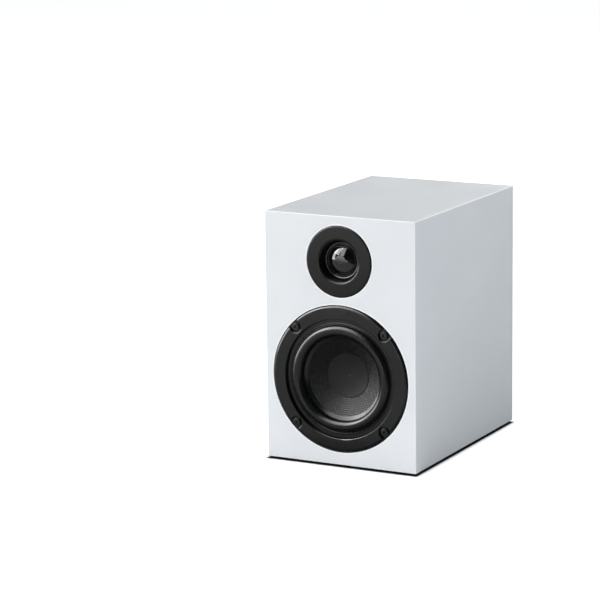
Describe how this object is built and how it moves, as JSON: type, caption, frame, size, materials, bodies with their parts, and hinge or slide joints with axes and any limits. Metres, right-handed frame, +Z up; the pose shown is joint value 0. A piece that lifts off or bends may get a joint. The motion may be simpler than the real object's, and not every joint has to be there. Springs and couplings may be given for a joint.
{
  "type": "bookshelf speaker",
  "caption": "White two-way bookshelf speaker: black woofer below a dome tweeter in a round plate, rear port and screw-down binding posts.",
  "frame": {"origin": "under the middle of the overall size, on the plane the feet stand on", "axes": "+X to the right seen from the front, -Y out of the front, +Z up"},
  "size_m": [0.15, 0.2398, 0.23],
  "materials": {
    "white_lacquer": "satin white lacquer on fibreboard",
    "foot_rubber": "matte",
    "port_plastic": "fine matte",
    "grey_foam": "open-cell foam",
    "black_flange": "fine satin grain",
    "black_foam": "closed-cell foam",
    "black_steel": "black oxide",
    "surround_rubber": "semi-gloss rubber",
    "spider_cloth": "resin-treated woven cloth",
    "woven_cone": "coated glass-fibre weave",
    "dust_cap_plastic": "matte",
    "former_aluminium": "bare foil",
    "copper_wire": null,
    "zinc_steel": "zinc plated",
    "ferrite": "sintered ferrite, ground faces",
    "brown_board": "phenolic board",
    "copper_braid": "braided copper tinsel",
    "black_faceplate": "fine matte",
    "tweeter_soft": "coated cloth",
    "dome_gloss": "glossy coated dome",
    "tinned_brass": "tinned",
    "terminal_plastic": "fine sparked texture",
    "gold_brass": "gold plated",
    "red_plastic": "clear red moulding",
    "black_plastic": "moulded",
    "green_board": "solder mask",
    "capacitor_sleeve": "film sleeve",
    "resistor_ceramic": "cement body",
    "red_wire": null,
    "black_wire": null
  },
  "bodies": {
    "cabinet": {"front_baffle": "white_lacquer", "cabinet_top": "white_lacquer", "cabinet_bottom": "white_lacquer", "cabinet_left_side": "white_lacquer", "cabinet_right_side": "white_lacquer", "rear_panel": "white_lacquer", "rubber_feet": "foot_rubber", "port_tube": "port_plastic", "damping_foam": "grey_foam", "woofer_frame": "black_flange", "woofer_gasket": "black_foam", "woofer_screws": "black_steel", "woofer_surround": "surround_rubber", "woofer_spider": "spider_cloth", "woofer_top_plate": "zinc_steel", "woofer_magnet": "ferrite", "woofer_yoke": "zinc_steel", "woofer_terminal_board": "brown_board", "woofer_tinsel_leads": "copper_braid", "tweeter_cover": "black_faceplate", "tweeter_chassis": "port_plastic", "tweeter_screws": "black_steel", "tweeter_suspension": "tweeter_soft", "tweeter_top_plate": "zinc_steel", "tweeter_magnet": "ferrite", "tweeter_yoke": "zinc_steel", "tweeter_terminal_board": "brown_board", "terminal_tabs": "tinned_brass", "push_on_connectors": "tinned_brass", "terminal_gasket": "black_foam", "terminal_plate": "terminal_plastic", "terminal_screws": "black_steel", "positive_post_stud": "gold_brass", "negative_post_stud": "gold_brass", "positive_post_collar": "red_plastic", "negative_post_collar": "black_plastic", "post_spacers": "zinc_steel", "post_nuts": "zinc_steel", "crossover_board": "green_board", "woofer_inductor_bobbin": "black_plastic", "woofer_inductor_winding": "copper_wire", "tweeter_inductor_winding": "copper_wire", "woofer_capacitor": "capacitor_sleeve", "tweeter_capacitor": "capacitor_sleeve", "crossover_resistor": "resistor_ceramic", "woofer_positive_lead": "red_wire", "woofer_negative_lead": "black_wire", "tweeter_positive_lead": "red_wire", "tweeter_negative_lead": "black_wire"},
    "woofer_moving_parts": {"woofer_cone": "woven_cone", "woofer_dust_cap": "dust_cap_plastic", "woofer_coil_former": "former_aluminium", "woofer_coil_winding": "copper_wire"},
    "tweeter_moving_parts": {"tweeter_dome": "dome_gloss", "tweeter_voice_coil": "copper_wire"},
    "positive_washer": {"positive_knob_washer": "gold_brass"},
    "positive_knob_body": {"positive_knob": "red_plastic"},
    "negative_washer": {"negative_knob_washer": "gold_brass"},
    "negative_knob_body": {"negative_knob": "black_plastic"}
  },
  "joints": [
    {"name": "woofer_travel", "type": "slide", "parent": "cabinet", "child": "woofer_moving_parts", "axis": [0, -1, 0], "range_m": [-0.003, 0.003], "stiffness_N_per_m": 1000, "deforming": ["woofer_surround", "woofer_spider", "woofer_tinsel_leads"]},
    {"name": "tweeter_travel", "type": "slide", "parent": "cabinet", "child": "tweeter_moving_parts", "axis": [0, -1, 0], "range_m": [-0.0003, 0.0003], "stiffness_N_per_m": 75, "deforming": ["tweeter_suspension"]},
    {"name": "positive_washer_travel", "type": "slide", "parent": "cabinet", "child": "positive_washer", "axis": [0, 1, 0], "range_m": [0, 0.005]},
    {"name": "positive_knob_turn", "type": "hinge", "parent": "positive_washer", "child": "positive_knob_body", "pos_m": [0.013, 0.1055, 0.062], "axis": [0, 1, 0], "range_deg": [0, 1800]},
    {"name": "negative_washer_travel", "type": "slide", "parent": "cabinet", "child": "negative_washer", "axis": [0, 1, 0], "range_m": [0, 0.005]},
    {"name": "negative_knob_turn", "type": "hinge", "parent": "negative_washer", "child": "negative_knob_body", "pos_m": [-0.013, 0.1055, 0.062], "axis": [0, 1, 0], "range_deg": [0, 1800]}
  ],
  "couplings": [
    {"joint": "positive_knob_turn", "follows": "positive_washer_travel", "rad_per_m": 6283.2},
    {"joint": "negative_knob_turn", "follows": "negative_washer_travel", "rad_per_m": 6283.2}
  ]
}
